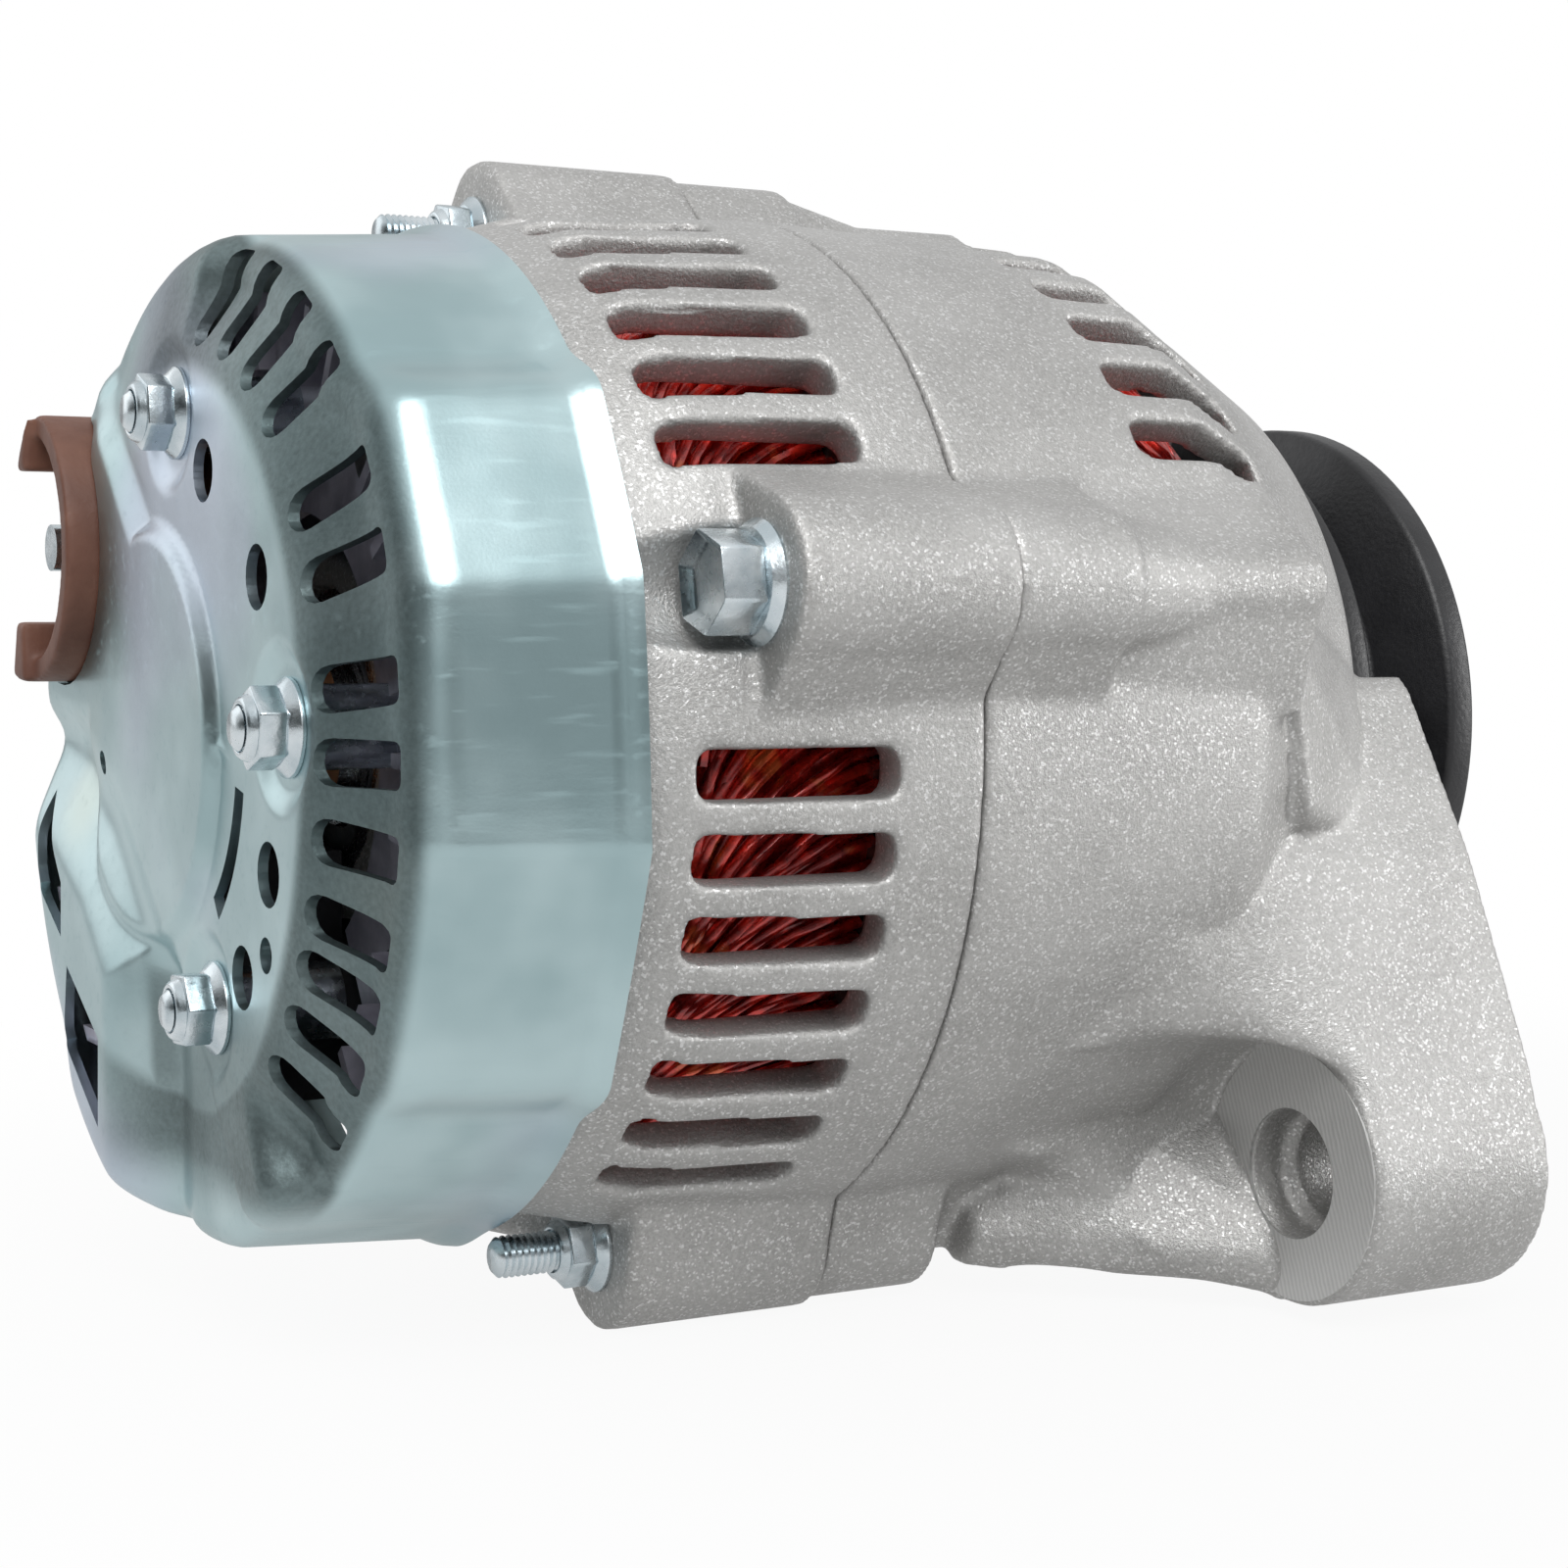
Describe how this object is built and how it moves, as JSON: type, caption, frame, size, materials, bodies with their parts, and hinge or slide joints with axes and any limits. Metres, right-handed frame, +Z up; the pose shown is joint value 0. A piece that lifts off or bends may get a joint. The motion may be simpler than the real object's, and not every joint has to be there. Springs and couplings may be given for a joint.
{
  "type": "engine alternator",
  "caption": "Belt-driven alternator with vented two-piece cast housing, stamped rear cover, pivot foot and V pulley.",
  "frame": {"origin": "on the shaft axis, in the mid plane of the belt groove", "axes": "+X along the shaft, out of the pulley end; +Z up as the part hangs in the picture"},
  "size_m": [0.179, 0.1423, 0.143],
  "materials": {
    "zinc_cover": "satin zinc plate",
    "cast_aluminium": "as cast, shot blasted",
    "zinc_steel": "bright zinc plate",
    "bearing_steel": "ground",
    "dark_steel": "plain steel",
    "laminations": "stacked sheet",
    "red_enamel": "gloss enamel on copper",
    "coil_copper": "enamelled copper",
    "black_pulley": "satin black",
    "brown_plastic": "matt moulded",
    "black_plastic": "matt moulded",
    "bright_copper": "turned copper",
    "carbon": "pressed carbon",
    "heat_sink": "plain sheet"
  },
  "bodies": {
    "housing": {"rear_cover": "zinc_cover", "cover_nuts": "zinc_steel", "cover_studs": "zinc_steel", "cover_spacers": "zinc_steel", "rear_frame": "cast_aluminium", "drive_frame": "cast_aluminium", "frame_bolts": "zinc_steel", "frame_studs": "zinc_steel", "frame_stud_nuts": "zinc_steel", "stator_core": "laminations", "stator_winding_rear": "red_enamel", "stator_winding_front": "red_enamel", "front_bearing_outer": "bearing_steel", "front_bearing_balls": "bearing_steel", "front_bearing_seals": "black_plastic", "rear_bearing_outer": "bearing_steel", "rear_bearing_balls": "bearing_steel", "rear_bearing_seals": "black_plastic", "bearing_retainer": "zinc_steel", "retainer_screws": "zinc_steel", "rectifier_negative_plate": "heat_sink", "rectifier_positive_plate": "heat_sink", "rectifier_bushes": "black_plastic", "diodes_negative": "dark_steel", "diodes_positive": "dark_steel", "output_stud": "zinc_steel", "output_nut": "zinc_steel", "terminal_insulator": "brown_plastic", "brush_holder": "black_plastic", "brush_spring_rear": "bearing_steel", "brush_spring_front": "bearing_steel", "voltage_regulator": "black_plastic", "regulator_heat_sink": "heat_sink"},
    "rotor": {"rotor_shaft": "bearing_steel", "rotor_pole_front": "dark_steel", "rotor_pole_rear": "dark_steel", "field_bobbin": "black_plastic", "field_coil": "coil_copper", "fan_front": "dark_steel", "fan_rear": "dark_steel", "slip_ring_sleeve": "black_plastic", "slip_rings": "bright_copper", "pulley_spacer": "dark_steel", "pulley": "black_pulley", "lock_washer": "zinc_steel", "pulley_nut": "zinc_steel", "front_bearing_inner": "bearing_steel", "rear_bearing_inner": "bearing_steel"},
    "rear_brush": {"brush_rear": "carbon"},
    "front_brush": {"brush_front": "carbon"}
  },
  "joints": [
    {"name": "rotor_spin", "type": "hinge", "parent": "housing", "child": "rotor", "pos_m": [0, 0, 0], "axis": [1, 0, 0], "continuous": true},
    {"name": "rear_brush_slide", "type": "slide", "parent": "housing", "child": "rear_brush", "axis": [0, 0, -1], "range_m": [0, 0.004], "stiffness_N_per_m": 250, "springref_m": -0.004, "deforming": ["brush_spring_rear"]},
    {"name": "front_brush_slide", "type": "slide", "parent": "housing", "child": "front_brush", "axis": [0, 0, -1], "range_m": [0, 0.004], "stiffness_N_per_m": 250, "springref_m": -0.004, "deforming": ["brush_spring_front"]}
  ]
}
